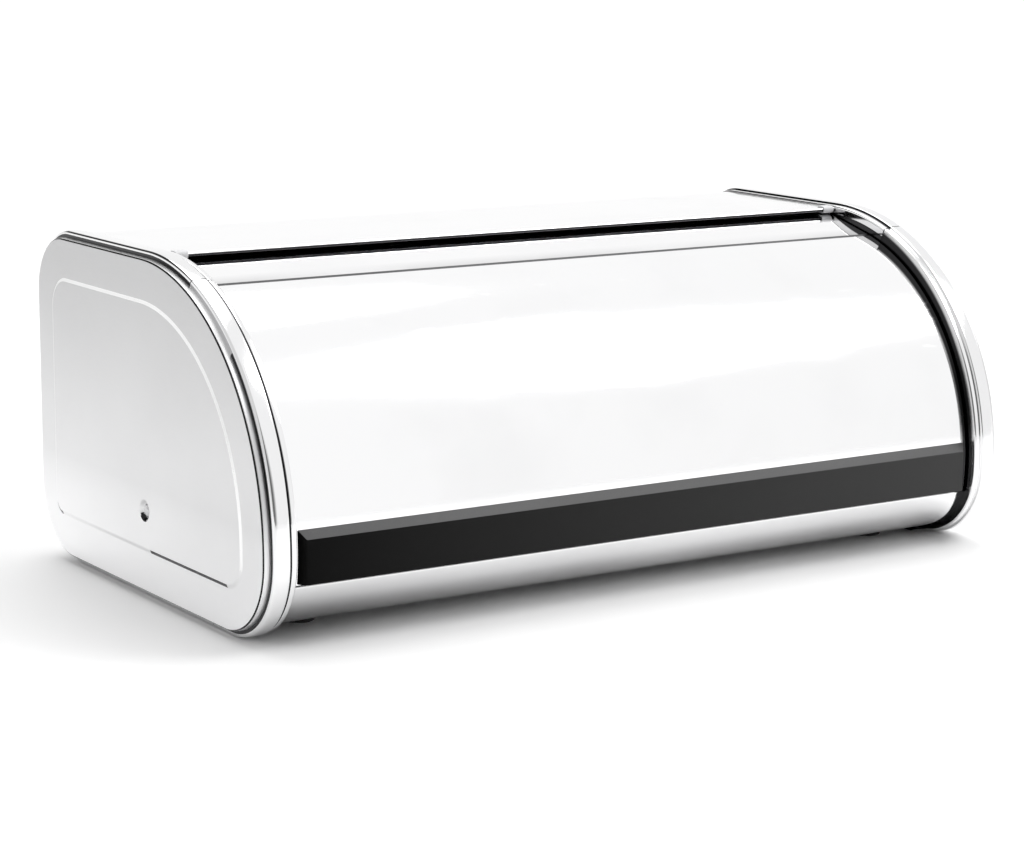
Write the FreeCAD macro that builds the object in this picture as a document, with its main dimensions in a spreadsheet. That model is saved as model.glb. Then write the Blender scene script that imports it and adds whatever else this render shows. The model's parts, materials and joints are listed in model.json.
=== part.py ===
"""Bread box with a roll top: a bent steel wrap between two pressed ends, and a curved steel lid with a
black handle bar that turns about two pivot pins and rolls back under the flat top.

Millimetres. X runs along the box, the front faces -Y, Z is up, and the origin is on the worktop below the
middle of the box. The end outline is worked in the Y-Z plane, seen from +X.
"""

import FreeCAD, Part

import math
import os

SIZES = {
    # the box as a whole
    "box_length": 460.0,
    "face_depth": 252.4,
    "face_height": 170.0,
    "arch_radius": 127.0,
    "front_corner": 40.0,
    "rear_corner": 38.0,
    "top_corner": 31.0,
    "sheet_gauge": 0.7,
    "foot_drop": 0.4,
    # the raised hoop round each end
    "hoop_rise": 3.8,
    "hoop_reach": 18.0,
    "hoop_start": 4.8,
    "hoop_split_angle": 68.5,
    "hoop_split_gap": 0.6,
    "hoop_floor_split": 60.0,
    "hoop_short_wall": 2.5,
    "hoop_deep_wall": 15.0,
    # the pressed end panel
    "panel_raise": 0.7,
    "field_inset": 20.0,
    "field_rear_inset": 18.0,
    "field_floor_inset": 21.0,
    "field_front_corner": 16.0,
    "field_rear_corner": 9.0,
    "field_top_corner": 18.0,
    "panel_edge_round": 1.2,
    "panel_flange": 15.5,
    # the wrap between the ends
    "wrap_top_rise": 1.8,
    "wrap_rear_rise": 1.3,
    "wrap_floor_lift": 1.0,
    "wrap_tuck": 0.4,
    "wrap_rear_corner": 36.0,
    "wrap_top_corner": 32.0,
    "lip_radius": 33.0,
    "lip_setback": 5.0,
    "lip_angle": 17.0,
    "nose_depth": 124.0,
    "hem_radius": 1.2,
    "nose_hem": 10.0,
    "lip_hem": 6.0,
    # the lid
    "pivot_setback": 125.2,
    "pivot_height": 42.4,
    "lid_radius": 121.6,
    "lid_low_angle": 7.5,
    "lid_crease_angle": 73.9,
    "lid_crease_turn": 2.5,
    "lid_crease_radius": 2.0,
    "lid_crown_length": 34.0,
    "lid_tail_turn": 24.0,
    "lid_tail_radius": 12.0,
    "lid_tail_length": 10.0,
    "lid_end_gap": 1.5,
    # the handle bar
    "handle_setback": 0.1,
    "handle_bottom": 27.0,
    "handle_shoulder": 49.0,
    "handle_top": 53.7,
    "handle_end_gap": 3.0,
    "handle_end_bevel": 1.5,
    "handle_screw_pitch": 90.0,
    "screw_radius": 1.5,
    "screw_head_radius": 3.0,
    "screw_length": 3.2,
    # the lid arms and their pivots
    "arm_gap": 2.0,
    "arm_gauge": 1.0,
    "arm_band": 14.0,
    "arm_hub": 13.0,
    "arm_flange": 10.0,
    "pin_radius": 3.0,
    "pin_shoulder": 5.5,
    "pin_head": 3.6,
    "bush_radius": 4.5,
    "bush_clearance": 0.05,
    "dimple_radius": 5.3,
    "dimple_depth": 1.8,
    "arm_low_angle": -5.0,
    "arm_high_angle": 86.0,
    # the open lid's stops
    "full_opening": 84.0,
    "stop_reach": 70.0,
    "stop_stud_radius": 2.0,
    "stop_sleeve_radius": 4.0,
    # feet and buffers
    "foot_radius": 8.0,
    "foot_stem": 3.0,
    "foot_inset": 48.0,
    "foot_front": 52.0,
    "foot_rear": 206.0,
    "buffer_width": 7.0,
    "buffer_length": 14.0,
}

doc = FreeCAD.newDocument("bread_box")
sheet = doc.addObject("Spreadsheet::Sheet", "Sizes")
for row, (alias, value) in enumerate(SIZES.items(), 1):
    sheet.set(f"A{row}", alias.replace("_", " "))
    sheet.set(f"B{row}", str(value))
    sheet.setAlias(f"B{row}", alias)
doc.recompute()


def size(alias):
    """A driving dimension, read from the sheet."""
    return float(sheet.get(alias))


# Places that several pieces share, in the row's own axes.
HALF = size("box_length") / 2
GAUGE = size("sheet_gauge")
FRONT = -size("face_depth") / 2
REAR = size("face_depth") / 2
FLOOR = size("foot_drop") + size("hoop_rise")
TOP = FLOOR + size("face_height")
ARCH_Y = FRONT + size("arch_radius")
ARCH_Z = TOP - size("arch_radius")
PIVOT_Y = FRONT + size("pivot_setback")
PIVOT_Z = FLOOR + size("pivot_height")
SPLIT_Y = FRONT + size("hoop_floor_split")
WALL_X = HALF - size("hoop_reach")
ARM_X = WALL_X - size("arm_gap")
WRAP_FLOOR = FLOOR + size("wrap_floor_lift")
WRAP_REAR = REAR + size("wrap_rear_rise")
WRAP_TOP = TOP + size("wrap_top_rise")
NOSE_Y = FRONT + size("nose_depth")
LIP_Y = FRONT + size("lip_setback") + size("lip_radius")
LIP_Z = WRAP_FLOOR + size("lip_radius")


class Run:
    """A path in a plane made of straight runs and tangent bends. A bend to the left is positive."""

    def __init__(self, start, heading):
        self.start = start
        self.heading = heading
        self.moves = []

    def go(self, length):
        self.moves.append((length, None, None))
        return self

    def bend(self, radius, degrees):
        self.moves.append((None, radius, degrees))
        return self

    def curves(self, offset=0.0):
        """The path's lines and arcs, moved sideways: to the left if offset is positive."""
        x, y = self.start
        way = math.radians(self.heading)
        x, y = x - offset * math.sin(way), y + offset * math.cos(way)
        made = []
        for length, radius, degrees in self.moves:
            if length is not None:
                end = (x + length * math.cos(way), y + length * math.sin(way))
                made.append(Part.LineSegment(point(x, y), point(*end)))
                x, y = end
                continue
            side = 1 if degrees > 0 else -1
            reach = radius - side * offset
            centre = (x - side * reach * math.sin(way), y + side * reach * math.cos(way))
            turn = math.radians(degrees)
            half_way, whole_way = (
                (centre[0] + side * reach * math.sin(a), centre[1] - side * reach * math.cos(a))
                for a in (way + turn / 2, way + turn)
            )
            made.append(Part.Arc(point(x, y), point(*half_way), point(*whole_way)))
            x, y = whole_way
            way += turn
        return made

    def strip(self, thickness):
        """The closed outline of a sheet of that thickness that follows the path: on its left if positive."""
        near, far = self.curves(), self.curves(thickness)
        caps = [
            Part.LineSegment(near[-1].EndPoint, far[-1].EndPoint),
            Part.LineSegment(far[0].StartPoint, near[0].StartPoint),
        ]
        return near + far + caps


def point(x, y):
    return FreeCAD.Vector(x, y, 0)


def polygon(points):
    """Closed lines through points."""
    return [
        Part.LineSegment(point(*a), point(*b)) for a, b in zip(points, points[1:] + points[:1])
    ]


def lid_polar(angle, radius):
    """A point round the pivot: angle 0 is level at the front and 90 is straight up."""
    turn = math.radians(angle)
    return PIVOT_Y - radius * math.cos(turn), PIVOT_Z + radius * math.sin(turn)


def rounded_end(inset=0.0, rear=None, floor=None, corners=None):
    """The closed outline of the box's ends, or a smaller one inside it with its own gaps and corners."""
    rear = inset if rear is None else rear
    floor = inset if floor is None else floor
    front_corner, rear_corner, top_corner = corners or (
        size(f"{name}_corner") - inset for name in ("front", "rear", "top")
    )
    arch = size("arch_radius") - inset
    low, high = FLOOR + floor, TOP - inset
    front, back = FRONT + inset, REAR - rear
    run = Run((front + front_corner, low), 0)
    run.go(back - rear_corner - front - front_corner).bend(rear_corner, 90)
    run.go(high - top_corner - low - rear_corner).bend(top_corner, 90)
    run.go(back - top_corner - ARCH_Y).bend(arch, 90)
    run.go(ARCH_Z - low - front_corner).bend(front_corner, 90)
    return run.curves()


def new_body(label):
    body = doc.addObject("PartDesign::Body", label)
    body.Label = label
    return body


def new_sketch(body, role, away, geometry, name):
    """A sketch on one of the body's own origin planes, moved away along the plane's normal."""
    sketch = body.newObject("Sketcher::SketchObject", name)
    plane = next(o for o in body.Origin.OriginFeatures if o.Role == role)
    sketch.AttachmentSupport = [(plane, "")]
    sketch.MapMode = "FlatFace"
    sketch.AttachmentOffset = FreeCAD.Placement(FreeCAD.Vector(0, 0, away), FreeCAD.Rotation())
    sketch.addGeometry(geometry, False)
    return sketch


def pad(body, sketch, length, name, backwards=False, both_ways=False):
    """A pad of that length, which is a number or an expression on the sheet."""
    feature = body.newObject("PartDesign::Pad", name)
    feature.Profile = sketch
    set_length(feature, length)
    feature.Midplane = both_ways
    feature.Reversed = backwards
    doc.recompute()
    return feature


def pocket(body, sketch, length, name, backwards=False):
    before = body.Shape.Volume
    feature = body.newObject("PartDesign::Pocket", name)
    feature.Profile = sketch
    set_length(feature, length)
    feature.Reversed = backwards
    doc.recompute()
    if body.Shape.Volume >= before - 1e-6:
        raise RuntimeError(f"{name} cut nothing")
    return feature


def set_length(feature, length):
    if isinstance(length, str):
        feature.setExpression("Length", length)
    else:
        feature.Length = length


def fillet(body, base, edges, radius, name):
    feature = body.newObject("PartDesign::Fillet", name)
    feature.Base = (base, edges)
    feature.setExpression("Radius", radius)
    doc.recompute()
    return feature


def edges_where(shape, test):
    """The names of the edges whose every vertex and middle passes the test."""
    names = []
    for number, edge in enumerate(shape.Edges, 1):
        middle = edge.valueAt((edge.FirstParameter + edge.LastParameter) / 2)
        if test(middle) and all(test(v.Point) for v in edge.Vertexes):
            names.append(f"Edge{number}")
    return names


def mirrored(source, label):
    """The right-hand copy of a left-hand piece."""
    copy = doc.addObject("Part::Mirroring", label)
    copy.Label = label
    copy.Source = source
    copy.Normal = FreeCAD.Vector(1, 0, 0)
    copy.Base = FreeCAD.Vector(0, 0, 0)
    return copy


def both_sides(make, stem):
    """Makes the left-hand piece and its mirror image."""
    left = make(f"{stem}_left")
    doc.recompute()
    return [left, mirrored(left, f"{stem}_right")]


def turned(label, section, y=PIVOT_Y, z=PIVOT_Z):
    """A solid turned about a line along X. The section lists (distance from the box's end, radius)."""
    body = new_body(label)
    outline = polygon([(x - HALF, y + r) for x, r in section])
    sketch = new_sketch(body, "XY_Plane", z, outline, f"{label}_section")
    sketch.addGeometry(Part.LineSegment(point(-HALF, y), point(0, y)), True)
    doc.recompute()
    feature = body.newObject("PartDesign::Revolution", f"{label}_turn")
    feature.Profile = sketch
    feature.ReferenceAxis = (sketch, ["Axis0"])
    feature.Angle = 360
    doc.recompute()
    return body


# ---------------------------------------------------------------------------- hoops and wrap


def hoop_section(wall):
    """The pressed section of a hoop in (distance from the box's end, rise), with its inner wall's depth."""
    start, reach, rise = size("hoop_start"), size("hoop_reach"), size("hoop_rise")
    step = start + 8.7  # where the crest steps down to the narrow rim
    outside = [
        (start, 0.05),
        (start + 0.3, rise - 1.0),
        (start + 1.1, rise - 0.2),
        (start + 4.5, rise),
        (step - 0.4, rise - 0.1),
        (step + 0.6, rise - 0.6),
        (step + 1.6, rise - 1.2),
        (reach - 1.5, rise - 1.3),
        (reach - 0.4, rise - 1.9),
        (reach, rise - 3.0),
        (reach, -wall),
    ]
    inside = [
        (reach - GAUGE, -wall),
        (reach - GAUGE, rise - 2.8),
        (reach - 1.7, rise - 2.0),
        (step + 1.5, rise - 1.9),
        (step + 0.4, rise - 1.3),
        (start + 4.5, rise - GAUGE),
        (start + 1.4, rise - 0.9),
        (start + 1.0, rise - 1.2),
        (start + GAUGE, 0.05),
    ]
    return outside + inside


def hoop_run(forwards):
    """The part of the end outline that a hoop piece follows, from the split on the floor."""
    split = size("hoop_split_angle")
    gap = math.degrees(size("hoop_split_gap") / 2 / size("arch_radius"))
    floor_gap = size("hoop_split_gap") / 4
    if forwards:
        run = Run((SPLIT_Y - floor_gap, FLOOR), 180)
        run.go(size("hoop_floor_split") - size("front_corner") - floor_gap)
        run.bend(size("front_corner"), -90)
        run.go(size("face_height") - size("arch_radius") - size("front_corner"))
        return run.bend(size("arch_radius"), -(split - gap))
    run = Run((SPLIT_Y + floor_gap, FLOOR), 0)
    run.go(size("face_depth") - size("rear_corner") - size("hoop_floor_split") - floor_gap)
    run.bend(size("rear_corner"), 90)
    run.go(size("face_height") - size("rear_corner") - size("top_corner"))
    run.bend(size("top_corner"), 90)
    run.go(size("face_depth") - size("top_corner") - size("arch_radius"))
    return run.bend(size("arch_radius"), 90 - split - gap)


def add_hoop(body, forwards, wall, name):
    """Sweeps the hoop's section along its part of the outline."""
    run = hoop_run(forwards)
    spine = new_sketch(body, "YZ_Plane", -HALF, run.curves(), f"{name}_spine")
    section = polygon([(x - HALF, FLOOR - rise) for x, rise in hoop_section(wall)])
    profile = new_sketch(body, "XZ_Plane", -run.start[0], section, f"{name}_profile")
    doc.recompute()
    pipe = body.newObject("PartDesign::AdditivePipe", f"{name}_sweep")
    pipe.Profile = profile
    pipe.Spine = (spine, [f"Edge{n}" for n in range(1, len(run.moves) + 1)])
    doc.recompute()
    return pipe


def make_body_wrap(label):
    """Front lip, floor, rear, top and folded nose in one bent sheet, with the rear part of both hoops."""
    body = new_body(label)
    lip = size("lip_radius")
    tilt = math.radians(size("lip_angle"))
    hem = size("hem_radius")
    outer = (LIP_Y - lip * math.cos(tilt), LIP_Z - lip * math.sin(tilt))
    hem_foot = (
        outer[0] + 2 * hem * math.cos(tilt) + size("lip_hem") * math.sin(tilt),
        outer[1] + 2 * hem * math.sin(tilt) - size("lip_hem") * math.cos(tilt),
    )
    run = Run(hem_foot, 90 + size("lip_angle"))
    run.go(size("lip_hem")).bend(hem, 180)
    run.bend(lip, 90 - size("lip_angle"))
    run.go(WRAP_REAR - size("wrap_rear_corner") - LIP_Y)
    run.bend(size("wrap_rear_corner"), 90)
    run.go(WRAP_TOP - size("wrap_top_corner") - WRAP_FLOOR - size("wrap_rear_corner"))
    run.bend(size("wrap_top_corner"), 90)
    run.go(WRAP_REAR - size("wrap_top_corner") - NOSE_Y - hem)
    run.bend(hem, 180).go(size("nose_hem"))
    profile = new_sketch(body, "YZ_Plane", 0, run.strip(GAUGE), "wrap_profile")
    length = "Sizes.box_length - 2 * (Sizes.hoop_reach - Sizes.wrap_tuck)"
    pad(body, profile, length, "wrap_sheet", both_ways=True)
    add_hoop(body, False, size("hoop_short_wall"), "rear_hoop")
    mirror = body.newObject("PartDesign::Mirrored", "rear_hoop_mirror")
    mirror.Originals = [doc.getObject("rear_hoop_sweep")]
    mirror.MirrorPlane = (next(o for o in body.Origin.OriginFeatures if o.Role == "YZ_Plane"), [""])
    body.Tip = mirror
    doc.recompute()
    holes = [
        Part.Circle(point(side * (HALF - size("foot_inset")), FRONT + size(place)),
                    FreeCAD.Vector(0, 0, 1), size("foot_stem"))
        for side in (-1, 1) for place in ("foot_front", "foot_rear")
    ]
    sketch = new_sketch(body, "XY_Plane", WRAP_FLOOR + 2 * GAUGE, holes, "foot_holes")
    pocket(body, sketch, 3 * GAUGE, "foot_hole_cut")
    return body


def make_front_arch(label):
    """The front part of a hoop, with the deep wall that the lid's edge runs beside."""
    body = new_body(label)
    add_hoop(body, True, size("hoop_deep_wall"), label)
    return body


# ---------------------------------------------------------------------------- end panels and pivots


def field_outline(inset=0.0):
    """The outline of the raised middle of an end panel."""
    corners = (size(f"field_{name}_corner") - inset for name in ("front", "rear", "top"))
    gaps = (size("field_inset"), size("field_rear_inset"), size("field_floor_inset"))
    return rounded_end(*(gap + inset for gap in gaps), tuple(corners))


def make_side_panel(label):
    """A pressed end panel: rounded border, raised middle, flange, and the dimple of the pivot."""
    body = new_body(label)
    border = -HALF + size("panel_raise")
    back = border + GAUGE
    blank = new_sketch(body, "YZ_Plane", border, rounded_end(), f"{label}_blank")
    pad(body, blank, "Sizes.panel_flange", f"{label}_block")
    inner = new_sketch(body, "YZ_Plane", border + size("panel_flange"), rounded_end(GAUGE), f"{label}_inner")
    hollow = pocket(body, inner, "Sizes.panel_flange - Sizes.sheet_gauge", f"{label}_hollow")
    deep = edges_where(body.Shape, lambda p: abs(p.x - back) < 1e-4)
    bend = fillet(body, hollow, deep, "Sizes.panel_edge_round - Sizes.sheet_gauge", f"{label}_inner_edge")
    rim = edges_where(body.Shape, lambda p: abs(p.x - border) < 1e-4)
    fillet(body, bend, rim, "Sizes.panel_edge_round", f"{label}_edge")
    middle = new_sketch(body, "YZ_Plane", border, field_outline(), f"{label}_field")
    plate = pad(body, middle, "Sizes.panel_raise", f"{label}_plateau", backwards=True)
    crown = edges_where(body.Shape, lambda p: abs(p.x + HALF) < 1e-4)
    slope = body.newObject("PartDesign::Chamfer", f"{label}_slope")
    slope.Base = (plate, crown)
    slope.setExpression("Size", "Sizes.panel_raise * 0.9")
    doc.recompute()
    relief = new_sketch(body, "YZ_Plane", back, field_outline(GAUGE), f"{label}_relief")
    pocket(body, relief, "Sizes.panel_raise", f"{label}_relief_cut")
    add_dimple(body, label)
    return body


def add_dimple(body, label):
    """Replaces a disc of the panel by a pressed cup with the pin's hole."""
    outer, depth = size("dimple_radius"), size("dimple_depth")
    shank = size("pin_radius") - 0.5
    disc = Part.Circle(point(PIVOT_Y, PIVOT_Z), FreeCAD.Vector(0, 0, 1), outer + 0.4)
    sketch = new_sketch(body, "YZ_Plane", -HALF + 2 * GAUGE, [disc], f"{label}_disc")
    pocket(body, sketch, 3 * GAUGE, f"{label}_disc_cut")
    section = [
        (0, outer + 0.6), (0, outer), (depth, outer - 1.3), (depth, shank),
        (depth + GAUGE, shank), (depth + GAUGE, outer - 0.9), (GAUGE, outer + 0.5), (GAUGE, outer + 0.6),
    ]
    outline = polygon([(x - HALF, PIVOT_Y + r) for x, r in section])
    cup = new_sketch(body, "XY_Plane", PIVOT_Z, outline, f"{label}_cup")
    cup.addGeometry(Part.LineSegment(point(-HALF, PIVOT_Y), point(0, PIVOT_Y)), True)
    doc.recompute()
    turn = body.newObject("PartDesign::Revolution", f"{label}_dimple")
    turn.Profile = cup
    turn.ReferenceAxis = (cup, ["Axis0"])
    turn.Angle = 360
    doc.recompute()


def make_pivot_pin(label):
    """A riveted pin: domed head in the dimple, thick shoulder, and the journal that the lid turns on."""
    head, shoulder, journal = size("pin_head"), size("pin_shoulder"), size("pin_radius")
    seat = size("dimple_depth")
    reach = size("hoop_reach")
    return turned(label, [
        (seat - 1.3, 0), (seat - 1.2, 1.2), (seat - 0.8, 2.6), (seat, head), (seat, journal - 0.5),
        (seat + GAUGE, journal - 0.5), (seat + GAUGE, shoulder), (reach + 0.4, shoulder),
        (reach + 0.4, journal), (reach + 4.6, journal), (reach + 4.6, journal - 0.6),
        (reach + 5.4, journal - 0.6), (reach + 5.4, journal), (reach + 6.2, journal),
        (reach + 6.7, journal - 0.5), (reach + 6.7, 0),
    ])


def make_pivot_washer(label):
    reach = size("hoop_reach")
    bore = size("pin_radius") + size("bush_clearance")
    return turned(label, [
        (reach + 0.4, bore), (reach + 0.9, bore), (reach + 0.9, size("pin_shoulder")),
        (reach + 0.4, size("pin_shoulder")),
    ])


def make_pivot_clip(label):
    """The open ring that snaps into the pin's groove."""
    body = turned(label, [
        (size("hoop_reach") + 4.7, size("pin_radius") - 0.6),
        (size("hoop_reach") + 5.3, size("pin_radius") - 0.6),
        (size("hoop_reach") + 5.3, size("pin_radius") + 2.2),
        (size("hoop_reach") + 4.7, size("pin_radius") + 2.2),
    ])
    mouth = polygon([
        (PIVOT_Y - 1.9, PIVOT_Z), (PIVOT_Y + 1.9, PIVOT_Z), (PIVOT_Y + 1.9, PIVOT_Z - 8),
        (PIVOT_Y - 1.9, PIVOT_Z - 8),
    ])
    sketch = new_sketch(body, "YZ_Plane", -WALL_X + 7, mouth, f"{label}_mouth")
    pocket(body, sketch, 4.0, f"{label}_mouth_cut")
    return body


def make_pivot_bush(label):
    """The flanged plastic bush in the arm's hub."""
    reach = size("hoop_reach")
    bore = size("pin_radius") + size("bush_clearance")
    flange = size("bush_radius") + 2.2
    return turned(label, [
        (reach + 1.2, bore), (reach + 4.2, bore), (reach + 4.2, size("bush_radius")),
        (reach + size("arm_gap"), size("bush_radius")), (reach + size("arm_gap"), flange),
        (reach + 1.2, flange),
    ])


def open_stop_place(beyond=0.15):
    """Where the arm's upper edge comes to at full opening, with the sleeve's radius beside it."""
    reach, hub = size("stop_reach"), size("arm_hub")
    edge = size("arm_high_angle") + math.degrees(math.asin(hub / reach)) + size("full_opening")
    aside = math.degrees(math.asin((size("stop_sleeve_radius") + beyond) / reach))
    return lid_polar(edge + aside, reach)


def make_open_stop(label):
    """A stud welded inside the end panel, where the lid arm comes to rest at full opening."""
    seat, reach = GAUGE, size("hoop_reach")
    stud = size("stop_stud_radius")
    return turned(label, [
        (seat, 0), (seat, stud + 1.5), (seat + 0.8, stud + 1.5), (seat + 0.8, stud), (reach + 3.6, stud),
        (reach + 4.0, stud - 0.4), (reach + 4.0, 0),
    ], *open_stop_place())


def make_stop_sleeve(label):
    reach, outer = size("hoop_reach"), size("stop_sleeve_radius")
    bore = size("stop_stud_radius")
    return turned(label, [
        (reach, bore), (reach, outer - 0.3), (reach + 0.3, outer), (reach + 3.2, outer),
        (reach + 3.5, outer - 0.3), (reach + 3.5, bore),
    ], *open_stop_place())


# ---------------------------------------------------------------------------- lid


def lid_run():
    """The lid's outer skin, from its lower edge up over the crease to the tail under the nose."""
    low, crease = size("lid_low_angle"), size("lid_crease_angle")
    run = Run(lid_polar(-low, size("lid_radius")), 90 + low)
    run.bend(size("lid_radius"), -(low + crease))
    run.bend(size("lid_crease_radius"), -size("lid_crease_turn"))
    run.go(size("lid_crown_length"))
    run.bend(size("lid_tail_radius"), -size("lid_tail_turn"))
    return run.go(size("lid_tail_length"))


def make_lid_sheet(label):
    body = new_body(label)
    profile = new_sketch(body, "YZ_Plane", 0, lid_run().strip(-GAUGE), "lid_profile")
    length = "Sizes.box_length - 2 * Sizes.hoop_reach - 2 * Sizes.lid_end_gap"
    pad(body, profile, length, "lid_skin", both_ways=True)
    behind = 20.0
    seat = size("lid_radius") - PIVOT_Y
    sketch = new_sketch(body, "XZ_Plane", seat - behind, screw_circles("screw_radius"), "lid_screw_holes")
    pocket(body, sketch, behind + 1.0, "lid_screw_cut", backwards=True)
    return body


def screw_circles(radius):
    pitch = size("handle_screw_pitch")
    return [
        Part.Circle(point(n * pitch, PIVOT_Z), FreeCAD.Vector(0, 0, 1), size(radius))
        for n in (-2, -1, 0, 1, 2)
    ]


def make_handle_bar(label):
    """The black bar: flat front, bevelled top and ends, and a back that fits the lid's curve."""
    body = new_body(label)
    face = FRONT + size("handle_setback")
    low, shoulder, top = (FLOOR + size(n) for n in ("handle_bottom", "handle_shoulder", "handle_top"))
    radius = size("lid_radius")

    def on_lid(z):
        return PIVOT_Y - math.sqrt(radius**2 - (z - PIVOT_Z) ** 2), z

    corners = [on_lid(low), (face + 0.8, low), (face, low + 0.8), (face, shoulder), on_lid(top)]
    outline = polygon(corners)[:-1]
    back = Part.Arc(point(*on_lid(top)), point(PIVOT_Y - radius, PIVOT_Z), point(*on_lid(low)))
    section = new_sketch(body, "YZ_Plane", 0, outline + [back], "handle_section")
    length = "Sizes.box_length - 2 * Sizes.hoop_reach - 2 * Sizes.handle_end_gap"
    bar = pad(body, section, length, "handle_bar_block", both_ways=True)
    half = WALL_X - size("handle_end_gap")
    ends = edges_where(body.Shape, lambda p: abs(abs(p.x) - half) < 1e-4 and p.y < face + 1e-3)
    bevel = body.newObject("PartDesign::Chamfer", "handle_end_bevel")
    bevel.Base = (bar, ends)
    bevel.setExpression("Size", "Sizes.handle_end_bevel")
    doc.recompute()
    behind = 20.0
    seat = radius - PIVOT_Y
    sketch = new_sketch(body, "XZ_Plane", seat - behind, screw_circles("screw_radius"), "pilot_holes")
    pocket(body, sketch, behind + size("screw_length") - GAUGE + 0.2, "pilot_cut", backwards=True)
    return body


def make_handle_screws(label):
    """Pan-head screws from inside the lid into the bar, all in one piece group."""
    inner = PIVOT_Y - size("lid_radius") + GAUGE + 0.05
    pitch = size("handle_screw_pitch")
    solids = []
    for n in (-2, -1, 0, 1, 2):
        seat = FreeCAD.Vector(n * pitch, inner, PIVOT_Z)
        back = FreeCAD.Vector(0, -1, 0)
        shank = Part.makeCylinder(size("screw_radius") - 0.05, size("screw_length"), seat, back)
        head = Part.makeCone(
            size("screw_head_radius"), size("screw_head_radius") - 0.7, 1.7, seat, FreeCAD.Vector(0, 1, 0)
        )
        slot = Part.makeBox(
            4.0, 1.0, 0.7, FreeCAD.Vector(n * pitch - 2, inner + 1.1, PIVOT_Z - 0.35)
        )
        cross = Part.makeBox(
            0.7, 1.0, 4.0, FreeCAD.Vector(n * pitch - 0.35, inner + 1.1, PIVOT_Z - 2)
        )
        solids.append(shank.fuse(head).cut(slot).cut(cross).removeSplitter())
    group = doc.addObject("Part::Feature", label)
    group.Label = label
    group.Shape = Part.makeCompound(solids)
    return group


def make_lid_arm(label):
    """The stamped arm that joins the lid to its pivot: hub, two spokes, curved band and folded flange."""
    body = new_body(label)
    low, high, hub = size("arm_low_angle"), size("arm_high_angle"), size("arm_hub")
    outer = -ARM_X
    ends = (low, high)
    radius = size("lid_radius") - GAUGE
    rim = [lid_polar(a, radius) for a in ends]
    span = lid_polar((low + size("lid_crease_angle")) / 2, radius)
    crease = lid_polar(size("lid_crease_angle"), radius)
    hub_low, hub_high = lid_polar(low - 90, hub), lid_polar(high + 90, hub)
    hub_back = lid_polar((low + high) / 2 + 180, hub)
    outline = [
        Part.LineSegment(point(*hub_low), point(*rim[0])),
        Part.Arc(point(*rim[0]), point(*span), point(*crease)),
        Part.LineSegment(point(*crease), point(*rim[1])),
        Part.LineSegment(point(*rim[1]), point(*hub_high)),
        Part.Arc(point(*hub_high), point(*hub_back), point(*hub_low)),
    ]
    sketch = new_sketch(body, "YZ_Plane", outer, outline, f"{label}_blank")
    pad(body, sketch, "Sizes.arm_gauge", f"{label}_plate")
    inner = radius - size("arm_band")
    neck = hub + 16
    near, far = low + 6.5, high - 6.5
    near_in, far_in = low + 24.0, high - 24.0
    window = [
        Part.Arc(*(point(*lid_polar(a, inner)) for a in (near, (near + far) / 2, far))),
        Part.LineSegment(point(*lid_polar(far, inner)), point(*lid_polar(far_in, neck))),
        Part.Arc(*(point(*lid_polar(a, neck)) for a in (far_in, (near + far) / 2, near_in))),
        Part.LineSegment(point(*lid_polar(near_in, neck)), point(*lid_polar(near, inner))),
    ]
    cut = new_sketch(body, "YZ_Plane", outer + 2, window, f"{label}_window")
    opening = pocket(body, cut, 4.0, f"{label}_window_cut")
    corners = [lid_polar(a, r) for a, r in ((near, inner), (far, inner), (near_in, neck), (far_in, neck))]
    edges = edges_where(
        body.Shape, lambda p: any(math.hypot(p.y - y, p.z - z) < 0.01 for y, z in corners)
    )
    fillet(body, opening, edges, "Sizes.arm_band / 2", f"{label}_window_round")
    fold = Run(lid_polar(low, radius), 90 - low)
    fold.bend(radius, -(size("lid_crease_angle") - 1.0 - low))
    flange = new_sketch(body, "YZ_Plane", outer, fold.strip(-0.8), f"{label}_flange")
    pad(body, flange, "Sizes.arm_flange", f"{label}_fold")
    bore = Part.Circle(point(PIVOT_Y, PIVOT_Z), FreeCAD.Vector(0, 0, 1), size("bush_radius"))
    hole = new_sketch(body, "YZ_Plane", outer + 2, [bore], f"{label}_hub_hole")
    pocket(body, hole, 4.0, f"{label}_hub_cut")
    return body


# ---------------------------------------------------------------------------- feet and buffers


def make_foot(label, side, place):
    """A rubber foot with a stem that pops through the floor."""
    body = new_body(label)
    x = side * (HALF - size("foot_inset"))
    y = FRONT + size(place)
    radius, stem = size("foot_radius"), size("foot_stem")
    inside = WRAP_FLOOR + GAUGE
    section = [
        (0, 0), (radius - 1.0, 0), (radius - 0.2, 0.8), (radius, WRAP_FLOOR), (stem, WRAP_FLOOR),
        (stem, inside), (stem + 1.5, inside), (stem + 0.6, inside + 1.6), (0, inside + 2.0),
    ]
    outline = polygon([(x + r, z) for r, z in section])
    sketch = new_sketch(body, "XZ_Plane", -y, outline, f"{label}_section")
    sketch.addGeometry(Part.LineSegment(point(x, 0), point(x, 20)), True)
    doc.recompute()
    turn = body.newObject("PartDesign::Revolution", f"{label}_turn")
    turn.Profile = sketch
    turn.ReferenceAxis = (sketch, ["Axis0"])
    turn.Angle = 360
    doc.recompute()
    return body


def make_nose_buffer(label):
    """A soft clip over the nose's end, which the handle bar meets when the lid is open."""
    body = new_body(label)
    hem = size("hem_radius")
    run = Run((NOSE_Y + size("buffer_length"), WRAP_TOP + 0.8), 180)
    run.go(size("buffer_length") - hem).bend(hem + 0.8, 180).go(4.5)
    sketch = new_sketch(body, "YZ_Plane", -WALL_X + 1.0, run.strip(0.75), f"{label}_section")
    pad(body, sketch, "Sizes.buffer_width", f"{label}_strip")
    return body


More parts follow.
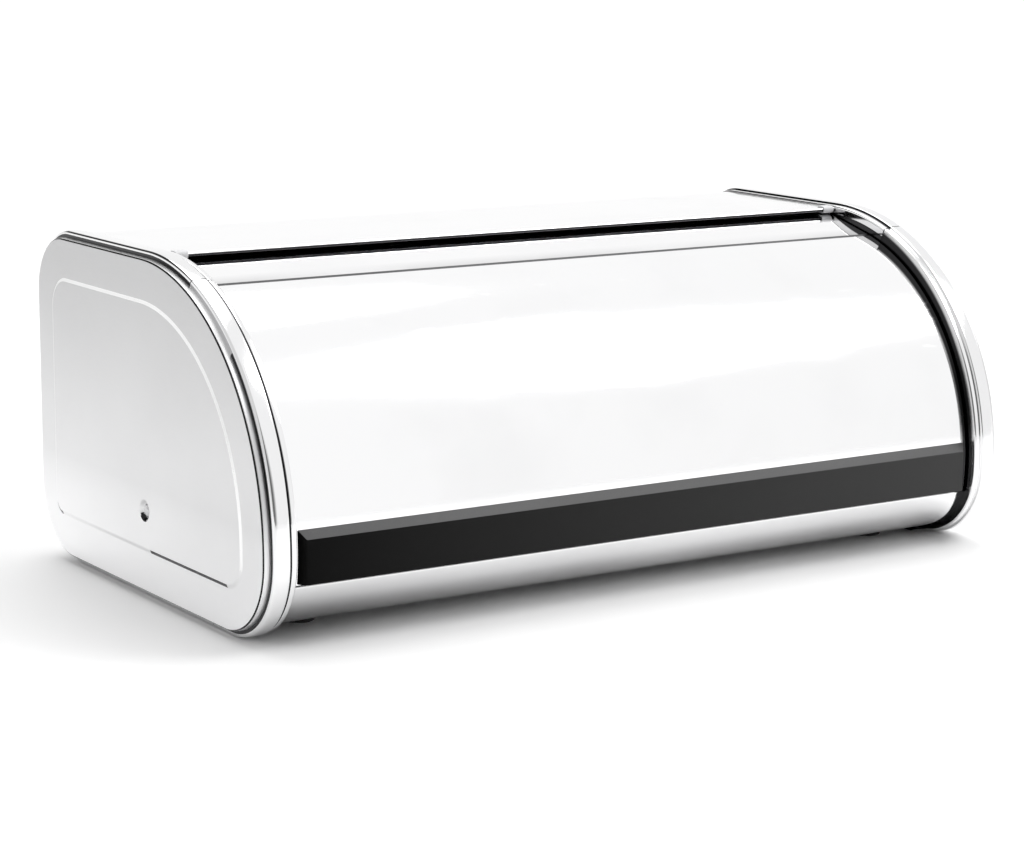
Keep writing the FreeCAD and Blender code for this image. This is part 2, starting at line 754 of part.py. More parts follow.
def make_lip_buffer(label):
    """A small soft pad on the lip's hem, which the closed lid's bar rests on."""
    tilt = math.radians(size("lip_angle"))
    hem = size("hem_radius")
    middle_y = LIP_Y - (size("lip_radius") - hem) * math.cos(tilt)
    crest_z = LIP_Z - (size("lip_radius") - hem) * math.sin(tilt) + hem
    pad_ = doc.addObject("Part::Box", label)
    pad_.Label = label
    pad_.setExpression("Length", "Sizes.buffer_width")
    pad_.Width = 2.0
    pad_.Height = FLOOR + size("handle_bottom") - crest_z - 0.1
    pad_.Placement.Base = FreeCAD.Vector(-WALL_X + 20, middle_y - 1.0, crest_z)
    return pad_


# ---------------------------------------------------------------------------- the whole box


def make_everything():
    made = [make_body_wrap("body_wrap")]
    made += both_sides(make_front_arch, "front_arch")
    made += both_sides(make_side_panel, "side_panel")
    made += both_sides(make_pivot_pin, "pivot_pin")
    made += both_sides(make_pivot_washer, "pivot_washer")
    made += both_sides(make_pivot_clip, "pivot_clip")
    made += both_sides(make_pivot_bush, "pivot_bush")
    made += both_sides(make_open_stop, "open_stop")
    made += both_sides(make_stop_sleeve, "stop_sleeve")
    made += [make_lid_sheet("lid_sheet"), make_handle_bar("handle_bar")]
    made += [make_handle_screws("handle_screws")]
    made += both_sides(make_lid_arm, "lid_arm")
    made += both_sides(make_nose_buffer, "nose_buffer")
    made += both_sides(make_lip_buffer, "lip_buffer")
    for side, hand in ((-1, "left"), (1, "right")):
        for place in ("front", "rear"):
            made.append(make_foot(f"foot_{place}_{hand}", side, f"foot_{place}"))
    return made


def check(pieces):
    """Stops if any object failed or any piece is empty or invalid."""
    doc.recompute()
    failed = [o.Label for o in doc.Objects if "Invalid" in o.State or "Error" in o.State]
    empty = [p.Label for p in pieces if p.Shape.isNull() or not p.Shape.isValid() or not p.Shape.Solids]
    if failed or empty:
        raise RuntimeError(f"failed objects {failed}, bad shapes {empty}")


pieces = make_everything()
check(pieces)
os.makedirs("parts", exist_ok=True)
for piece in pieces:
    piece.Shape.exportStep(f"parts/{piece.Label}.step")
    box = piece.Shape.BoundBox
    print(
        f"{piece.Label:20s} solids {len(piece.Shape.Solids)} volume {piece.Shape.Volume:10.1f}"
        f"  X {box.XMin:7.1f} {box.XMax:7.1f}  Y {box.YMin:7.1f} {box.YMax:7.1f}  Z {box.ZMin:6.1f} {box.ZMax:6.1f}"
    )
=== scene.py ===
import json
import math

import bpy
from mathutils import Matrix, Vector


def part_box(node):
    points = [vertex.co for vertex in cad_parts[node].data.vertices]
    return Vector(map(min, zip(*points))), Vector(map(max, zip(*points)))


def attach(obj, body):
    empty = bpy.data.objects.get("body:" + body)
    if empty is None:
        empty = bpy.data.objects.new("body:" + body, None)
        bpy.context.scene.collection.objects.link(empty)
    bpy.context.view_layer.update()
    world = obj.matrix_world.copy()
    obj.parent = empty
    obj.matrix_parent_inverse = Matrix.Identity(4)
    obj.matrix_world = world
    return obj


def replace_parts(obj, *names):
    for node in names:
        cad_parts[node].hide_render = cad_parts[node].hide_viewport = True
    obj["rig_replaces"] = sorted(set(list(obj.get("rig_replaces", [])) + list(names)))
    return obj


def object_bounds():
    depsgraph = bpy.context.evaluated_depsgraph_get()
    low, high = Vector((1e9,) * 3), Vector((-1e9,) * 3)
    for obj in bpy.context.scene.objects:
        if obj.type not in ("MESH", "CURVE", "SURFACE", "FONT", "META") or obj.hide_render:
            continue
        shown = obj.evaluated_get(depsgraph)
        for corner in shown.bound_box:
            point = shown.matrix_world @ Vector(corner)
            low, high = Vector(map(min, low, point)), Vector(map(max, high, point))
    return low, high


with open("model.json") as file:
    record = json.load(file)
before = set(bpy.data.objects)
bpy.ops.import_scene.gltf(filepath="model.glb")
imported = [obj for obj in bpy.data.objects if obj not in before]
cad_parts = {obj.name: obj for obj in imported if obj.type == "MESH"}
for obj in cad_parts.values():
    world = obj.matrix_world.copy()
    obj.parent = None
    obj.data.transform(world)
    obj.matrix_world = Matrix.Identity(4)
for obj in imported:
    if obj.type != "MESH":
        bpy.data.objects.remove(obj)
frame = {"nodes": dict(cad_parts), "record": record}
cad_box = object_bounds()

MM = 0.001
GAUGE = 0.7 * MM
HALF = cad_box[1].x
CREST = cad_box[1].y

# The end outline, worked out from the frame: the hoops stand proud of it by one rise all round.
RISE = 3.8 * MM
FRONT = -CREST + RISE
REAR = CREST - RISE
TOP = cad_box[1].z - RISE
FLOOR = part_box("body_wrap")[0].z + RISE
ARCH = 127 * MM
ARCH_Y = FRONT + ARCH
ARCH_Z = TOP - ARCH
FRONT_CORNER = 40 * MM
REAR_CORNER = 38 * MM
TOP_CORNER = 31 * MM
SPLIT_Y = FRONT + 60 * MM
SPLIT_ANGLE = 68.5
SPLIT_GAP = 0.3 * MM
WALL_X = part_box("front_arch_right")[0].x
FRONT_WALL_DEPTH = 15 * MM
REAR_WALL_DEPTH = 2.5 * MM
NOSE_WALL_DEPTH = 11 * MM

HINGE = next(j for j in frame["record"]["behaviour"]["joints"] if j["name"] == "lid_roll")
PIVOT_Y, PIVOT_Z = HINGE["pos_m"][1:]

# The wrap: one sheet a little inside that outline.
WRAP_FLOOR = FLOOR + 1.0 * MM
WRAP_REAR = REAR + 1.3 * MM
WRAP_TOP = TOP + 1.8 * MM
WRAP_REAR_CORNER = 36 * MM
WRAP_TOP_CORNER = 32 * MM
LIP = 33 * MM
LIP_TILT = math.radians(17)
LIP_Y = FRONT + LIP + 5 * MM
LIP_Z = WRAP_FLOOR + LIP
LIP_HEM = 6 * MM
HEM = 1.2 * MM
NOSE_Y = FRONT + 124 * MM
NOSE_HEM = 10 * MM
WRAP_TUCK = 0.4 * MM

# The lip's painted shade, darker towards its foot: where it starts and is full, going down and going
# forwards.
LIP_SHADE_DOWN = (34 * MM, 8 * MM)
LIP_SHADE_FORWARD = (-88 * MM, -96 * MM)

# The lid rolls about the pivot. Its sheet ends in a flat strip and a tail that tuck under the nose.
# Its places round the pivot, its groove's slope and its small bends are in degrees.
LID = 121.6 * MM
LID_LOW = 7.5
LID_CREASE = 73.9
LID_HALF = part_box("lid_sheet")[1].x
GROOVE = 38
GROOVE_REACH = 1.4 * MM
STRIP = 32.6 * MM
TAIL = 10 * MM

# The handle bar's heights over the floor, and how far its ends slope back.
BAR_FACE = FRONT + 0.1 * MM
BAR_LOW = FLOOR + 27 * MM
BAR_SHOULDER = FLOOR + 49 * MM
BAR_TOP = FLOOR + 53.7 * MM
BAR_END_BEVEL = 3.2 * MM


# ---------------------------------------------------------------------------- working in edit mode


def start(name):
    """A new piece with an empty mesh, in edit mode."""
    bpy.ops.object.select_all(action="DESELECT")
    bpy.ops.mesh.primitive_plane_add(size=MM)
    piece = bpy.context.object
    piece.name = piece.data.name = name
    bpy.ops.object.mode_set(mode="EDIT")
    bpy.ops.mesh.select_mode(type="VERT")
    everything()
    bpy.ops.mesh.delete(type="VERT")
    return piece


def dot(x, y, z):
    """Adds one vertex, ready to be drawn out."""
    bpy.ops.mesh.primitive_plane_add(size=MM, location=(x, y, z))
    bpy.ops.mesh.merge(type="CENTER")


def draw(x=0.0, y=0.0, z=0.0):
    """Extrudes what is selected."""
    bpy.ops.mesh.extrude_region_move(TRANSFORM_OT_translate={"value": (x, y, z)})


def spin(degrees, centre, axis, steps):
    """Spins what is selected about a line, by the right-hand rule."""
    bpy.ops.mesh.spin(steps=steps, angle=math.radians(-degrees), center=centre, axis=axis)


def everything():
    bpy.ops.mesh.select_all(action="SELECT")


def pick(piece, test, kind="VERT"):
    """Selects the vertices, edges or faces whose every corner passes the test."""
    bpy.ops.mesh.select_mode(type=kind)
    bpy.ops.mesh.select_all(action="DESELECT")
    bpy.ops.object.mode_set(mode="OBJECT")
    mesh = piece.data
    good = [test(v.co) for v in mesh.vertices]
    if kind == "VERT":
        for vertex in mesh.vertices:
            vertex.select = good[vertex.index]
    for part in mesh.edges if kind == "EDGE" else mesh.polygons if kind == "FACE" else ():
        part.select = all(good[i] for i in part.vertices)
    bpy.ops.object.mode_set(mode="EDIT")


def weld():
    everything()
    bpy.ops.mesh.remove_doubles(threshold=0.002 * MM)


def turn_out(piece, way):
    """Turns all the faces round if the furthest one that way faces inwards, and leaves edit mode."""
    bpy.ops.object.mode_set(mode="OBJECT")
    way = Vector(way)
    across = [f for f in piece.data.polygons if abs(f.normal.dot(way)) > 0.5]
    if max(across, key=lambda f: f.center.dot(way)).normal.dot(way) < 0:
        bpy.ops.object.mode_set(mode="EDIT")
        everything()
        bpy.ops.mesh.flip_normals()
        bpy.ops.object.mode_set(mode="OBJECT")


def face_out(piece, way):
    """Makes the faces agree, pointing outwards on that side, and leaves edit mode."""
    weld()
    bpy.ops.mesh.normals_make_consistent(inside=False)
    turn_out(piece, way)


def apply(piece, kind, **settings):
    """Adds a modifier and applies it."""
    modifier = piece.modifiers.new(kind.title(), kind)
    for key, value in settings.items():
        setattr(modifier, key, value)
    bpy.ops.object.modifier_apply(modifier=modifier.name)


def soften(piece, width, segments=2, angle=40):
    """Rounds the edges that are sharper than the angle."""
    apply(piece, "BEVEL", width=width, segments=segments, limit_method="ANGLE",
          angle_limit=math.radians(angle))


def thicken(piece, gauge=GAUGE):
    """Gives a drawn outer surface its sheet's thickness, inwards."""
    apply(piece, "SOLIDIFY", thickness=gauge, offset=-1, use_even_offset=True)


def smooth(angle=35):
    bpy.ops.object.shade_smooth_by_angle(angle=math.radians(angle))
    apply(bpy.context.object, "WEIGHTED_NORMAL", keep_sharp=True, weight=80)


def finished(piece, finish, body, slot, *nodes):
    """The piece takes its finish, stands for its CAD nodes and rides on their body."""
    if finish:
        piece.data.materials.clear()
        piece.data.materials.append(finish)
    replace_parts(piece, *nodes)
    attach(piece, body)
    return piece


def shade(piece, finish, test):
    """Gives the faces that pass the test another finish."""
    piece.data.materials.append(finish)
    index = len(piece.data.materials) - 1
    for face in piece.data.polygons:
        if test(face):
            face.material_index = index


def from_end(face):
    """How far a face lies from the box's nearer end."""
    return HALF - abs(face.center.x)


def arch_angle(face):
    """The angle of a face round the arch, from its level front upwards, in degrees."""
    return math.degrees(math.atan2(face.center.z - ARCH_Z, ARCH_Y - face.center.y))


def other_side(piece, name, body, slot, *nodes):
    """The right-hand twin of a left-hand piece, with its own mesh."""
    bpy.ops.object.select_all(action="DESELECT")
    piece.select_set(True)
    bpy.context.view_layer.objects.active = piece
    bpy.ops.object.duplicate()
    twin = bpy.context.object
    twin.parent = None
    twin["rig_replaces"] = []
    twin.name = twin.data.name = name
    bpy.ops.object.mode_set(mode="EDIT")
    everything()
    bpy.ops.transform.resize(value=(-1, 1, 1), center_override=(0, 0, 0))
    turn_out(twin, (1, 0, 0))
    smooth()
    return finished(twin, None, body, slot, *nodes)


class Pen:
    """Draws what is selected along the Y-Z plane. A bend to the left is positive."""

    def __init__(self, y, z, heading):
        self.y, self.z, self.heading = y, z, math.radians(heading)

    def go(self, length):
        step = (length * math.cos(self.heading), length * math.sin(self.heading))
        draw(y=step[0], z=step[1])
        self.y += step[0]
        self.z += step[1]
        return self

    def bend(self, radius, degrees):
        arm = math.copysign(radius, degrees)
        y = self.y - arm * math.sin(self.heading)
        z = self.z + arm * math.cos(self.heading)
        by_angle = round(abs(degrees) / 3)
        by_length = round(abs(math.radians(degrees)) * radius / (3 * MM))
        spin(degrees, (0, y, z), (1, 0, 0), max(4, by_angle, by_length))
        self.heading += math.radians(degrees)
        self.y = y + arm * math.sin(self.heading)
        self.z = z - arm * math.cos(self.heading)
        return self


def turned(name, section, y, z):
    """A left-hand round piece turned about a line along X, as (distance from the end, radius)."""
    piece = start(name)
    dot(section[0][0] - HALF, y, z + section[0][1])
    for (x0, r0), (x1, r1) in zip(section, section[1:]):
        draw(x=x1 - x0, z=r1 - r0)
    everything()
    spin(360, (0, y, z), (1, 0, 0), 40)
    face_out(piece, (-1, 0, 0))
    return piece


def lid_place(angle, radius):
    """A place on the lid's circle. The angle goes up from the front, from the level of the pivot."""
    turn = math.radians(angle)
    return PIVOT_Y - radius * math.cos(turn), PIVOT_Z + radius * math.sin(turn)


# ---------------------------------------------------------------------------- finishes


class Finish:
    """A material's shader, with the few patterns that the finishes are made from."""

    def __init__(self, name, colour, roughness, metallic=0.0):
        self.material = bpy.data.materials.new(name)
        self.material.use_nodes = True
        self.nodes = self.material.node_tree.nodes
        self.shader = self.nodes["Principled BSDF"]
        self.place = self.add("ShaderNodeTexCoord").outputs["Object"]
        self.shader.inputs["Metallic"].default_value = metallic
        self.colour, self.roughness, self.height = colour, roughness, None

    def add(self, kind, **settings):
        node = self.nodes.new(kind)
        for key, value in settings.items():
            setattr(node, key, value)
        return node

    def link(self, out, socket):
        self.material.node_tree.links.new(out, socket)

    def noise(self, scale, stretch=(1, 1, 1), detail=4.0, low=0.35, high=0.65):
        """Noise on object coordinates, spread from 0 to 1 between two levels. The scale is per metre."""
        mapping = self.add("ShaderNodeMapping")
        mapping.inputs["Scale"].default_value = stretch
        self.link(self.place, mapping.inputs["Vector"])
        noise = self.add("ShaderNodeTexNoise")
        noise.inputs["Scale"].default_value = scale
        noise.inputs["Detail"].default_value = detail
        self.link(mapping.outputs["Vector"], noise.inputs["Vector"])
        return self.spread(noise.outputs["Fac"], low, high, 0, 1)

    def across(self, axis, start, end):
        """A ramp from 0 to 1 between two places along an axis."""
        split = self.add("ShaderNodeSeparateXYZ")
        self.link(self.place, split.inputs["Vector"])
        return self.spread(split.outputs[axis], start, end, 0, 1)

    def around(self, y, z, start, end):
        """A ramp from 0 to 1 between two distances from a line along X."""
        flat = self.add("ShaderNodeVectorMath", operation="MULTIPLY_ADD")
        self.link(self.place, flat.inputs[0])
        flat.inputs[1].default_value = (0, 1, 1)
        flat.inputs[2].default_value = (0, -y, -z)
        reach = self.add("ShaderNodeVectorMath", operation="LENGTH")
        self.link(flat.outputs["Vector"], reach.inputs[0])
        return self.spread(reach.outputs["Value"], start, end, 0, 1)

    def spread(self, value, low, high, start, end):
        node = self.add("ShaderNodeMapRange", clamp=True)
        self.link(value, node.inputs["Value"])
        for key, number in zip(("From Min", "From Max", "To Min", "To Max"), (low, high, start, end)):
            node.inputs[key].default_value = number
        return node.outputs["Result"]

    def mix(self, factor, a, b):
        node = self.add("ShaderNodeMix", data_type="RGBA")
        self.link(factor, node.inputs["Factor"])
        for socket, value in ((node.inputs[6], a), (node.inputs[7], b)):
            if isinstance(value, tuple):
                socket.default_value = (*value, 1)
            else:
                self.link(value, socket)
        return node.outputs[2]

    def math(self, operation, a, b):
        node = self.add("ShaderNodeMath", operation=operation)
        for socket, value in zip(node.inputs, (a, b)):
            if isinstance(value, (int, float)):
                socket.default_value = value
            else:
                self.link(value, socket)
        return node.outputs["Value"]

    def tint(self, factor, colour):
        """Lets a pattern turn the colour towards another."""
        self.colour = self.mix(factor, self.colour, colour)

    def roughen(self, factor, amount):
        """Lets a pattern add to the roughness."""
        self.roughness = self.math("ADD", self.roughness, self.math("MULTIPLY", factor, amount))

    def emboss(self, factor, height):
        """Lets a pattern stand up by a height in metres."""
        raised = self.math("MULTIPLY", factor, height)
        self.height = raised if self.height is None else self.math("ADD", self.height, raised)

    def done(self):
        for value, name in ((self.colour, "Base Color"), (self.roughness, "Roughness")):
            if isinstance(value, tuple):
                self.shader.inputs[name].default_value = (*value, 1)
            elif isinstance(value, (int, float)):
                self.shader.inputs[name].default_value = value
            else:
                self.link(value, self.shader.inputs[name])
        if self.height is not None:
            bump = self.add("ShaderNodeBump")
            bump.inputs["Distance"].default_value = 1.0
            bump.inputs["Strength"].default_value = 1.0
            self.link(self.height, bump.inputs["Height"])
            self.link(bump.outputs["Normal"], self.shader.inputs["Normal"])
        return self.material


def polished_steel(name, tone, roughness, along=(1, 60, 60),
                   lip_shade_tone=None, crease_shade_tone=None, rim_light_tone=None):
    """Bright polished sheet: hairline polishing marks, thin scratches and hand smudges.

    It may carry painted shade on the front lip and above the lid's crease, and painted light towards the
    hoops' rims.
    """
    finish = Finish(name, tone, roughness, metallic=1.0)
    # Painted shade: the lip darkens downwards and forwards.
    if lip_shade_tone:
        low = finish.across("Z", *LIP_SHADE_DOWN)
        finish.tint(finish.math("MULTIPLY", low, finish.across("Y", *LIP_SHADE_FORWARD)), lip_shade_tone)
    # Painted shade: the lid darkens over the last few millimetres above its crease.
    if crease_shade_tone:
        crease = lid_place(LID_CREASE, LID)
        near = finish.across("Y", crease[0] + 11 * MM, crease[0] + 0.5 * MM)
        above = finish.across("Y", crease[0] - 0.5 * MM, crease[0])
        finish.tint(finish.math("MULTIPLY", near, above), crease_shade_tone)
    # Painted light: the sheet brightens towards the hoops' rims.
    if rim_light_tone:
        finish.tint(finish.around(ARCH_Y, ARCH_Z, ARCH - 0.3 * MM, ARCH + RISE - 2.6 * MM), rim_light_tone)
    hairs = finish.noise(90, along, detail=3)
    smudges = finish.noise(14, detail=5, low=0.5, high=0.72)
    film = finish.noise(3.5, detail=2, low=0.3, high=0.7)
    if rim_light_tone:
        film = finish.math("MULTIPLY", film, 0.2)
        smudges = finish.math("MULTIPLY", smudges, 0.2)
    scratches = finish.noise(26, (1, 9, 9), detail=8, low=0.66, high=0.7)
    finish.tint(film, tuple(0.975 * c for c in tone))
    finish.tint(smudges, tuple(0.95 * c for c in tone))
    finish.roughen(hairs, 0.02)
    finish.roughen(smudges, 0.05)
    finish.roughen(scratches, 0.08)
    finish.emboss(hairs, 0.00012 * MM)
    finish.emboss(scratches, 0.0004 * MM)
    return finish.done()


def satin_steel(name, tone, roughness, top_shade=0.0, foot_light_tone=None):
    """Dull rolled sheet: a fine close grain and faint cloudy wear.

    It may carry painted shade that deepens upwards, and painted light at its foot.
    """
    finish = Finish(name, tone, roughness, metallic=1.0)
    grain = finish.noise(2600, detail=2)
    rolled = finish.noise(160, (14, 1, 14), detail=3)
    clouds = finish.noise(9, detail=4)
    rubs = finish.noise(40, (3, 1, 1), detail=7, low=0.6, high=0.72)
    finish.tint(clouds, tuple(0.965 * c for c in tone))
    finish.tint(rubs, tuple(0.975 * c for c in tone))
    # Painted shade, deepening upwards.
    if top_shade:
        upward_shade = finish.across("Z", FLOOR + 40 * MM, TOP - 10 * MM)
        finish.tint(upward_shade, tuple((1 - top_shade) * c for c in tone))
    # Painted light, brightening towards the foot.
    if foot_light_tone:
        finish.tint(finish.across("Z", FLOOR + 55 * MM, FLOOR + 8 * MM), foot_light_tone)
    finish.roughen(grain, 0.05)
    finish.roughen(rolled, 0.04)
    finish.roughen(clouds, 0.05)
    finish.emboss(grain, 0.0012 * MM)
    finish.emboss(rolled, 0.0004 * MM)
    return finish.done()


def moulded_plastic(name, tone, pale, roughness, gloss=0.5, right_painted_light=None):
    """Moulded plastic: a fine spark-eroded texture, slight sheen changes and paler rubbed spots.

    It may carry painted light that brightens it towards the right end.
    """
    finish = Finish(name, tone, roughness)
    texture = finish.noise(1900, detail=3)
    flow = finish.noise(7, (1, 4, 4), detail=3)
    rubbed = finish.noise(55, detail=6, low=0.58, high=0.72)
    finish.tint(texture, tuple(0.7 * c + 0.3 * p for c, p in zip(tone, pale)))
    finish.tint(rubbed, tuple(0.5 * c + 0.5 * p for c, p in zip(tone, pale)))
    # Painted light, brightening towards the right end.
    if right_painted_light:
        finish.tint(finish.across("X", -HALF, HALF), right_painted_light)
    finish.shader.inputs["Specular IOR Level"].default_value = gloss
    finish.roughen(texture, 0.06)
    finish.roughen(flow, 0.06)
    finish.roughen(rubbed, 0.05)
    finish.emboss(texture, 0.006 * MM)
    return finish.done()


def moulded_rubber(name, tone):
    """Soft black rubber with a dusty bloom."""
    finish = Finish(name, tone, 0.75)
    bloom = finish.noise(120, detail=6)
    pores = finish.noise(3200, detail=2)
    finish.tint(bloom, tuple(2.2 * c for c in tone))
    finish.roughen(bloom, 0.15)
    finish.emboss(pores, 0.012 * MM)
    finish.emboss(bloom, 0.01 * MM)
    return finish.done()


# The lid's darker band above its crease is painted shade.
LID_STEEL = polished_steel("lid_steel", (0.93, 0.93, 0.935), 0.05, crease_shade_tone=(0.55, 0.55, 0.555))
# The wrap's front lip takes painted shade towards its foot.
WRAP_STEEL = polished_steel("wrap_steel", (0.90, 0.90, 0.905), 0.07, lip_shade_tone=(0.30, 0.30, 0.305))
HOOP_STEEL = polished_steel("hoop_steel", (0.85, 0.85, 0.855), 0.08, along=(60, 3, 3))
# Near-black finish for the lid's groove: painted shade.
CREASE_SHADE = polished_steel("crease_shade", (0.07, 0.07, 0.072), 0.4)
# Near-black finish for the wall beside the lid's strip: painted shade.
WALL_SHADE = polished_steel("wall_shade", (0.05, 0.05, 0.052), 0.22, along=(60, 3, 3))
# The hoops' inner wall: painted shade, near black deep down, with painted light towards the rim.
WALL_PAINTED_SHADE = polished_steel(
    "wall_steel", (0.03, 0.03, 0.031), 0.22, along=(60, 3, 3), rim_light_tone=(0.95, 0.95, 0.95)
)
# Near-black finish for painted shade lines: hoop risers and steps, the nose's hem, the ends' rims, the
# field's foot and the dimple's lower slope.
SEAM_SHADE = polished_steel("seam_shade", (0.028, 0.028, 0.03), 0.2, along=(60, 3, 3))
# The ends take painted shade that deepens upwards and painted light at their foot.
END_STEEL = satin_steel(
    "end_steel", (0.75, 0.75, 0.755), 0.28, top_shade=0.27, foot_light_tone=(0.96, 0.96, 0.965)
)
# A paler finish for the field's sloping edge: a painted highlight.
EDGE_HIGHLIGHT = satin_steel("edge_steel", (0.93, 0.93, 0.93), 0.24)
ARM_STEEL = satin_steel("arm_steel", (0.62, 0.625, 0.63), 0.36)
PIN_STEEL = polished_steel("pin_steel", (0.60, 0.60, 0.61), 0.22, along=(60, 60, 60))
# The bar's plastic carries painted light, paler towards the right end.
FRONT_PLASTIC = moulded_plastic(
    "front_plastic", (0.001, 0.001, 0.001), (0.004, 0.004, 0.004), 0.3,
    gloss=0.03, right_painted_light=(0.058, 0.058, 0.058),
)
# A paler copy of the black plastic for the bar's top bevel: a painted highlight.
BEVEL_LIT_PLASTIC = moulded_plastic(
    "bevel_plastic", (0.06, 0.06, 0.061), (0.09, 0.09, 0.091), 0.3, gloss=0.22
)
BUSH_PLASTIC = moulded_plastic("bush_plastic", (0.70, 0.70, 0.68), (0.85, 0.85, 0.84), 0.5)
BUFFER_PLASTIC = moulded_plastic("buffer_plastic", (0.62, 0.62, 0.63), (0.74, 0.74, 0.75), 0.4)
FOOT_RUBBER = moulded_rubber("foot_rubber", (0.022, 0.022, 0.022))


# ---------------------------------------------------------------------------- hoops and wrap


# A hoop's section: each point's distance from the end, and its height over the end's outline.
HOOP_START = 4.8 * MM
HOOP_REACH = HALF - WALL_X
STEP = HOOP_START + 8.7 * MM
HOOP_CHAIN = (
    (HOOP_START, 0),
    (HOOP_START + 0.04 * MM, 1.9 * MM),
    (HOOP_START + 0.25 * MM, RISE - 1.0 * MM),
    (HOOP_START + 1.0 * MM, RISE - 0.25 * MM),
    (HOOP_START + 2.6 * MM, RISE),
    (STEP - 1.2 * MM, RISE),
    (STEP - 0.2 * MM, RISE - 0.2 * MM),
    (STEP + 0.3 * MM, RISE - 1.3 * MM),
    (STEP + 0.9 * MM, RISE - 1.3 * MM),
    (STEP + 1.5 * MM, RISE - 1.0 * MM),
    (HOOP_REACH - 0.9 * MM, RISE - 1.1 * MM),
    (HOOP_REACH - 0.2 * MM, RISE - 1.7 * MM),
    (HOOP_REACH, RISE - 2.6 * MM),
)


def hoop_section(y, wall):
    """Draws a left hoop's section, upside down on the floor side: foot, crest, step, rim and wall."""
    dot(HOOP_CHAIN[0][0] - HALF, y, FLOOR - HOOP_CHAIN[0][1])
    for (x0, r0), (x1, r1) in zip(HOOP_CHAIN, HOOP_CHAIN[1:]):
        draw(x=x1 - x0, z=r0 - r1)
    draw(z=HOOP_CHAIN[-1][1] + wall)
    everything()


def hoop_gap():
    """How far each part of the hoop keeps from the split on the arch, as an angle."""
    return math.degrees(SPLIT_GAP / ARCH)


def on_riser(face):
    """Whether a face is on the hoop's outer wall, next to the end panel."""
    return HOOP_START - 0.1 * MM < from_end(face) < HOOP_START + 0.06 * MM


def on_step(face):
    """Whether a face is on the small step between the hoop's crest and its rim."""
    return STEP - 0.3 * MM < from_end(face) < STEP + 1.2 * MM


def on_wall(face):
    """Whether a face is on the hoop's inner wall, below its rim."""
    return from_end(face) > HOOP_REACH - 0.9 * MM and abs(face.normal.x) > 0.9


def steel_hoop(piece):
    """Gives a drawn and bent hoop its round edges and its gauge, and smooths it."""
    face_out(piece, (0, 0, 1))
    soften(piece, 0.3 * MM, segments=2, angle=14)
    thicken(piece)
    smooth()


def rear_hoop():
    """The rear part of the left hoop, from the split under the floor round to the split on the arch."""
    piece = start("rear_hoop")
    y = SPLIT_Y + SPLIT_GAP / 2
    hoop_section(y, REAR_WALL_DEPTH)
    pen = Pen(y, FLOOR, 0)
    pen.go(REAR - REAR_CORNER - y).bend(REAR_CORNER, 90)
    pen.go(TOP - TOP_CORNER - FLOOR - REAR_CORNER).bend(TOP_CORNER, 90)
    pen.go(REAR - TOP_CORNER - ARCH_Y).bend(ARCH, 90 - SPLIT_ANGLE - hoop_gap())
    steel_hoop(piece)
    piece.data.materials.append(HOOP_STEEL)
    # Painted shade along the riser and the step.
    shade(piece, SEAM_SHADE, lambda f: on_riser(f) or on_step(f))
    return piece


def front_hoop():
    """The front part of the left hoop, with the deep inner wall beside the lid."""
    piece = start("front_hoop_left")
    y = SPLIT_Y - SPLIT_GAP / 2
    hoop_section(y, FRONT_WALL_DEPTH)
    pen = Pen(y, FLOOR, 180)
    pen.go(y - FRONT - FRONT_CORNER).bend(FRONT_CORNER, -90)
    pen.go(ARCH_Z - FLOOR - FRONT_CORNER).bend(ARCH, -(SPLIT_ANGLE - hoop_gap()))
    steel_hoop(piece)
    finished(piece, HOOP_STEEL, "case", "wrap_steel", "front_arch_left")
    # Painted shade along the step, and along the riser low on the arch.
    shade(piece, SEAM_SHADE, lambda f: on_step(f) or on_riser(f) and arch_angle(f) < 45)
    # Painted shade on the inner wall, with painted light towards the rim.
    shade(piece, WALL_PAINTED_SHADE, on_wall)
    return piece


def nose_wall():
    """The inner wall beside the lid's flat strip, between the nose and the front arch."""
    piece = start("nose_wall_left")
    y = NOSE_Y + 3 * MM
    dot(-WALL_X, y, TOP - 2 * MM)
    draw(z=-NOSE_WALL_DEPTH)
    everything()
    Pen(y, TOP, 180).go(y - ARCH_Y).bend(ARCH, 90 - SPLIT_ANGLE)
    face_out(piece, (1, 0, 0))
    thicken(piece)
    smooth()
    # Painted shade: the whole wall takes a near-black finish.
    piece.data.materials.append(WALL_SHADE)
    return piece


def under_nose(face):
    """Whether a face is on the lower half of the folded nose."""
    return face.center.y < NOSE_Y + HEM + NOSE_HEM and TOP - 2 * MM < face.center.z < TOP + 0.8 * MM


